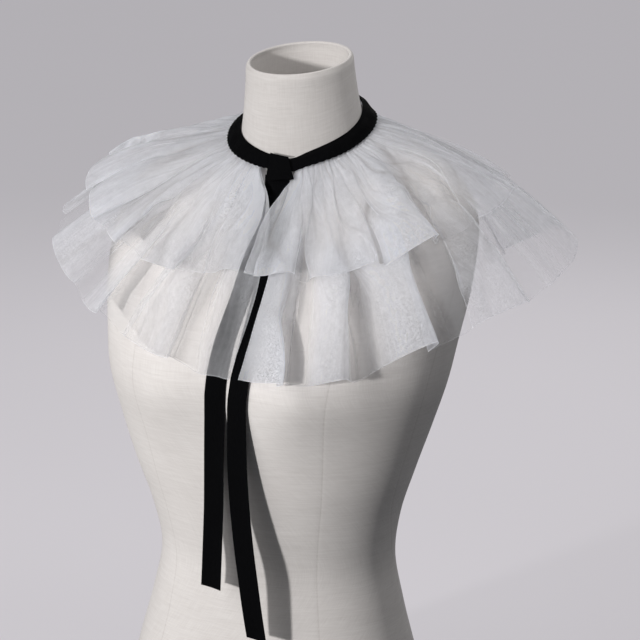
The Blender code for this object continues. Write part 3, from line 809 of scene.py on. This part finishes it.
def build_tail(end, drape):
    """One ribbon tail: down the chest to the bust, then hanging free to its cut end."""
    read = table(TAIL_COLUMNS, TAIL_ROWS[::-1], "z")
    top = TAIL_ROWS[0][0]
    steps = int((top - end["end_z"]) / 3.0)
    across = np.linspace(-1, 1, 9)
    front_most = np.full(len(across), end["start_y"])
    middle_line = []
    for step in range(steps + 1):
        z = top + (end["end_z"] - top) * step / steps
        hanging = max(TAIL_REST_Z - z, 0.0) ** 2 / (TAIL_REST_Z - end["end_z"]) ** 2
        middle = read(end["side"] + "_x", z) + end["sway"] * hanging
        x = middle + across * RIBBON_WIDTH / 2
        for index, place in enumerate(x):
            hit, normal, _, _ = drape.form.ray_cast(Vector((place, -VIEW_FROM, z)), Vector((0, 1, 0)))
            front_most[index] = min(front_most[index], (hit + normal * end["clearance"]).y)
        free = ease((TAIL_REST_Z - z) / TAIL_FLATTEN_RUN)
        flat = front_most + (front_most.min() - front_most) * free
        curl = 0.9 * free * (across**2) * np.sin(z / 47.0 + end["start_y"])
        slant = 1.6 * hanging**8 * across
        middle_line.append(np.stack([x, flat - np.abs(curl), z - slant], -1))
    inner = np.array(middle_line)
    outer = inner - np.array([0, RIBBON * 0.6, 0])
    return strip(f"ribbon_tail_{end['side']}_cloth", inner, outer)


class Nodes:
    """A short way to make and join a material's nodes."""

    def __init__(self, name):
        self.material = bpy.data.materials.new(name)
        self.material.use_nodes = True
        self.tree = self.material.node_tree
        self.tree.nodes.clear()
        self.output = self.tree.nodes.new("ShaderNodeOutputMaterial")

    def add(self, kind, **settings):
        node = self.tree.nodes.new("ShaderNode" + kind)
        for key, value in settings.items():
            if hasattr(node, key) and key not in node.inputs:
                setattr(node, key, value)
            else:
                self.put(node, key, value)
        return node

    def put(self, node, key, value):
        socket = node.inputs[key]
        if isinstance(value, bpy.types.NodeSocket):
            self.tree.links.new(value, socket)
        else:
            socket.default_value = value

    def math(self, operation, first, second=0.0, clamp=False):
        node = self.tree.nodes.new("ShaderNodeMath")
        node.operation = operation
        node.use_clamp = clamp
        for socket, value in zip(node.inputs, (first, second)):
            if isinstance(value, bpy.types.NodeSocket):
                self.tree.links.new(value, socket)
            else:
                socket.default_value = value
        return node.outputs[0]

    def vector(self, operation, first, second):
        node = self.tree.nodes.new("ShaderNodeVectorMath")
        node.operation = operation
        self.put(node, 0, first)
        self.put(node, 1, second)
        return node.outputs["Vector"]

    def noise(self, coordinates, scale, detail=2.0, stretch=(1.0, 1.0, 1.0)):
        mapping = self.add("Mapping", Vector=coordinates)
        mapping.inputs["Scale"].default_value = stretch
        made = self.add("TexNoise", Vector=mapping.outputs["Vector"])
        made.inputs["Scale"].default_value = scale
        made.inputs["Detail"].default_value = detail
        return made.outputs["Fac"]

    def around_middle(self, value, size):
        """The noise value less a half, times size."""
        return self.math("MULTIPLY", self.math("SUBTRACT", value, 0.5), size)

    def layered(self, value, coordinates, rows):
        """The value with the noise of each row added to it, and the noises by name."""
        noises = {}
        for row in rows:
            kind = dict(zip(NOISE_COLUMNS, row))
            noise = self.noise(coordinates, 1.0, kind["detail"], (kind["across"], kind["down"], 1.0))
            value = self.math("ADD", value, self.around_middle(noise, kind["size"]))
            noises[kind["name"]] = noise
        return value, noises

    def mix_colour(self, share, first, second):
        node = self.tree.nodes.new("ShaderNodeMix")
        node.data_type = "RGBA"
        for socket, value in zip((node.inputs[0], node.inputs[6], node.inputs[7]), (share, first, second)):
            if isinstance(value, bpy.types.NodeSocket):
                self.tree.links.new(value, socket)
            elif isinstance(value, tuple):
                socket.default_value = (*value, 1.0)
            else:
                socket.default_value = value
        return node.outputs[2]


def linen(name, shade):
    """Plain woven linen: crossed uneven threads, slubs, faint stains, and darker sewn seams."""
    make = Nodes(name)
    flat = make.add("UVMap", uv_map="cloth").outputs["UV"]
    threads = make.layered(0.0, flat, LINEN_NOISES)[0]
    place = make.add("TexCoord").outputs["Object"]
    stain = make.noise(place, 9.0, 3.0)
    tone = make.math("ADD", threads, make.around_middle(stain, 0.5))
    tone = make.math("ADD", 0.5, tone, clamp=True)
    dark, light = (tuple(shade * part for part in colour) for colour in (LINEN_DARK, LINEN_LIGHT))
    seam = make.add("Attribute", attribute_name="seam").outputs["Fac"]
    stitches = make.noise(flat, 1.0, 1.0, (60.0, 420.0, 1.0))
    sewn = make.math("MULTIPLY", make.math("MULTIPLY", seam, stitches), SEAM_SHARE)
    colour = make.mix_colour(sewn, make.mix_colour(tone, dark, light), SEAM_COLOUR)
    relief = make.add("Bump", Height=threads)
    relief.inputs["Strength"].default_value = 0.35
    relief.inputs["Distance"].default_value = 0.0006
    shader = make.add("BsdfPrincipled", **{"Base Color": colour, "Normal": relief.outputs["Normal"]})
    shader.inputs["Roughness"].default_value = 0.92
    shader.inputs["Specular IOR Level"].default_value = 0.25
    shader.inputs["Sheen Weight"].default_value = 0.15
    make.put(make.output, "Surface", shader.outputs[0])
    return make.material


def grosgrain():
    """Black ribbon: fine crosswise ribs, a matte face and a faint bluish sheen."""
    make = Nodes("ribbon_cloth")
    flat = make.add("UVMap", uv_map="cloth").outputs["UV"]
    ribs = make.add("TexWave", Vector=flat, wave_type="BANDS", bands_direction="Y")
    ribs.inputs["Scale"].default_value = 330.0
    ribs.inputs["Distortion"].default_value = 0.6
    fibres = make.noise(flat, 1.0, 2.0, (900.0, 200.0, 1.0))
    height = make.math("ADD", ribs.outputs["Fac"], make.around_middle(fibres, 0.6))
    colour = make.mix_colour(fibres, RIBBON_DARK, RIBBON_LIGHT)
    relief = make.add("Bump", Height=height)
    relief.inputs["Strength"].default_value = 0.5
    relief.inputs["Distance"].default_value = 0.0003
    shader = make.add("BsdfPrincipled", **{"Base Color": colour, "Normal": relief.outputs["Normal"]})
    shader.inputs["Roughness"].default_value = 0.85
    shader.inputs["Specular IOR Level"].default_value = 0.03
    make.put(make.output, "Surface", shader.outputs[0])
    return make.material


def net_cover(make, flat, body):
    """How much of the light the net stops, from its attributes and noises. Also its mottle and its painted
    shade.
    """
    cover = body
    amounts = {}
    for row in COVER_ROWS:
        part = dict(zip(COVER_COLUMNS, row))
        amount = make.add("Attribute", attribute_name=part["attribute"]).outputs["Fac"]
        cover = make.math("ADD", cover, make.math("MULTIPLY", amount, part["size"]))
        amounts[part["attribute"]] = amount
    wander = make.noise(flat, 1.0, 1.0, LINE_WANDER)
    from_line = make.math("ABSOLUTE", make.math("SUBTRACT", wander, 0.5))
    from_line = make.math("MULTIPLY", from_line, LINE_SHARPNESS)
    line = make.math("POWER", make.math("SUBTRACT", 1.0, from_line, clamp=True), 2.0)
    cover = make.math("ADD", cover, make.math("MULTIPLY", line, LINE_COVER))
    cover, noises = make.layered(cover, flat, NET_NOISES)
    rim = make.add("Attribute", attribute_name="rim").outputs["Fac"]
    edge = make.math("SUBTRACT", 1.0, make.math("DIVIDE", rim, RIM_WIDTH), clamp=True)
    cover = make.math("ADD", cover, make.math("MULTIPLY", edge, RIM_COVER))
    cover = make.math("MINIMUM", make.math("MAXIMUM", cover, LEAST_COVER), MOST_COVER)
    return cover, noises["mottle"], amounts["painted_shade"]


def net(name, body):
    """Sheer net: white threads that let light through, denser at the gathers and along cut edges, and
    darker with painted shade in its troughs and gather valleys.
    """
    make = Nodes(name)
    flat = make.add("UVMap", uv_map="cloth").outputs["UV"]
    cover, mottle, painted_shade = net_cover(make, flat, body)
    colour = make.mix_colour(mottle, NET_DIM, NET_BRIGHT)
    # Painted shade: the colour drawn towards a dark brown-grey in the troughs and gather valleys
    colour = make.mix_colour(make.math("MULTIPLY", painted_shade, PAINTED_SHADE_SHARE), colour, PAINTED_SHADE_COLOUR)
    threads = make.add("TexNoise", Vector=flat)
    threads.inputs["Scale"].default_value = THREAD_FINENESS
    scatter = make.vector("SUBTRACT", threads.outputs["Color"], (0.5, 0.5, 0.5))
    scatter = make.vector("MULTIPLY", scatter, (THREAD_SCATTER,) * 3)
    normal = make.vector("ADD", scatter, make.add("NewGeometry").outputs["Normal"])
    normal = make.vector("NORMALIZE", normal, (0.0, 0.0, 0.0))
    front = make.add("BsdfDiffuse", Color=colour, Normal=normal)
    through = make.add("BsdfTranslucent", Color=colour, Normal=normal)
    cloth = make.add("AddShader")
    make.tree.links.new(front.outputs[0], cloth.inputs[0])
    make.tree.links.new(through.outputs[0], cloth.inputs[1])
    clear = make.add("BsdfTransparent")
    mixed = make.add("MixShader")
    make.tree.links.new(cover, mixed.inputs[0])
    make.tree.links.new(clear.outputs[0], mixed.inputs[1])
    make.tree.links.new(cloth.outputs[0], mixed.inputs[2])
    make.put(make.output, "Surface", mixed.outputs[0])
    return make.material


def plain(name, colour, glow):
    """A pale matte surface with an even glow, so that the shadows on it stay faint."""
    make = Nodes(name)
    place = make.add("TexCoord").outputs["Object"]
    tone = make.noise(place, 1.3, 2.0)
    shade = make.mix_colour(tone, tuple(c * 0.28 for c in colour), tuple(c * 0.3 for c in colour))
    shader = make.add("BsdfPrincipled", **{"Base Color": shade})
    shader.inputs["Roughness"].default_value = 0.95
    shader.inputs["Specular IOR Level"].default_value = 0.1
    shader.inputs["Emission Color"].default_value = (*colour, 1.0)
    shader.inputs["Emission Strength"].default_value = glow
    make.put(make.output, "Surface", shader.outputs[0])
    return make.material


def dressed(piece, finish, slot, *nodes):
    """Gives a piece its material and its place in the record under the root body, and hides the solid
    nodes it stands for.
    """
    piece.data.materials.clear()
    piece.data.materials.append(finish)
    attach(piece, "root")
    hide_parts(*nodes)
    return piece


def direction(azimuth, height):
    """A unit vector towards an azimuth from the front and a height above level."""
    turn, rise = math.radians(azimuth), math.radians(height)
    return Vector((math.sin(turn) * math.cos(rise), -math.cos(turn) * math.cos(rise), math.sin(rise)))


def place_camera(scene):
    """The camera, turned to the front's left side and a little down."""
    back = direction(CAMERA_AZIMUTH, CAMERA_PITCH)
    camera = bpy.data.objects.new("camera", bpy.data.cameras.new("camera"))
    camera.location = (Vector(CAMERA_TARGET) + back * CAMERA_DISTANCE) * MM
    camera.rotation_mode = "QUATERNION"
    camera.rotation_quaternion = (-back).to_track_quat("-Z", "Y")
    camera.data.lens = CAMERA_LENS
    camera.data.clip_end = 100.0
    scene.collection.objects.link(camera)
    scene.camera = camera


def place_lights(scene):
    """The key light and three weaker ones, and an even sky."""
    for row in LIGHT_ROWS:
        light = dict(zip(LIGHT_COLUMNS, row))
        light_from = direction(light["azimuth"], light["height"])
        lamp = bpy.data.lights.new(light["name"], "AREA")
        lamp.shape = "DISK"
        lamp.size = light["size"]
        lamp.energy = light["power"]
        lamp.color = LIGHT_COLOUR
        made = bpy.data.objects.new(light["name"], lamp)
        made.location = (Vector(CAMERA_TARGET) + light_from * light["distance"]) * MM
        made.rotation_mode = "QUATERNION"
        made.rotation_quaternion = light_from.to_track_quat("Z", "Y")
        scene.collection.objects.link(made)
    world = bpy.data.worlds.new("studio")
    world.use_nodes = True
    sky = world.node_tree.nodes["Background"]
    sky.inputs["Color"].default_value = FILL_COLOUR
    sky.inputs["Strength"].default_value = FILL_LEVEL
    scene.world = world


def place_floor(scene):
    """A plain floor that is also the backdrop."""
    size = FLOOR_SIZE
    corners = [(-size, -size, 0), (size, -size, 0), (size, size, 0), (-size, size, 0)]
    mesh = bpy.data.meshes.new("floor")
    mesh.from_pydata(corners, [], [(0, 1, 2, 3)])
    mesh.materials.append(plain("floor_pale", FLOOR_COLOUR, FLOOR_GLOW))
    floor = bpy.data.objects.new("floor", mesh)
    floor.visible_diffuse = False
    scene.collection.objects.link(floor)


def main():
    scene = bpy.context.scene
    scene.view_settings.view_transform = "Standard"
    scene.cycles.transparent_max_bounces = NET_LAYERS_SEEN
    place_camera(scene)
    place_lights(scene)
    place_floor(scene)
    drape = Drape(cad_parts["dress_form_torso"])
    ribbon = grosgrain()
    torso = dressed(build_torso(), linen("linen_torso", 1.0), "linen", "dress_form_torso")
    neck = dressed(build_neck(), linen("linen_neck", NECK_SHADE), "linen", "dress_form_neck")
    lower_edges = ("lower_left", "lower_right")
    lower = build_tier("lower_tier_net", drape, lower_shape, lower_edges, "lower_length", LOWER_NET_ROWS)
    dressed(lower, net("net_lower", LOWER_BODY), "tulle", "tulle_lower_tier")
    upper_edges = ("upper_left", "upper_right")
    upper = build_tier("upper_tier_net", drape, upper_shape, upper_edges, "upper_length", UPPER_NET_ROWS)
    dressed(upper, net("net_upper", UPPER_BODY), "tulle", "tulle_upper_tier")
    band = dressed(build_band(drape), ribbon, "ribbon", "neck_ribbon")
    knot = dressed(build_knot(drape), ribbon, "ribbon", "ribbon_knot")
    for row in TAIL_ENDS:
        end = dict(zip(END_COLUMNS, row))
        dressed(build_tail(end, drape), ribbon, "ribbon", "ribbon_tail_" + end["side"])


main()
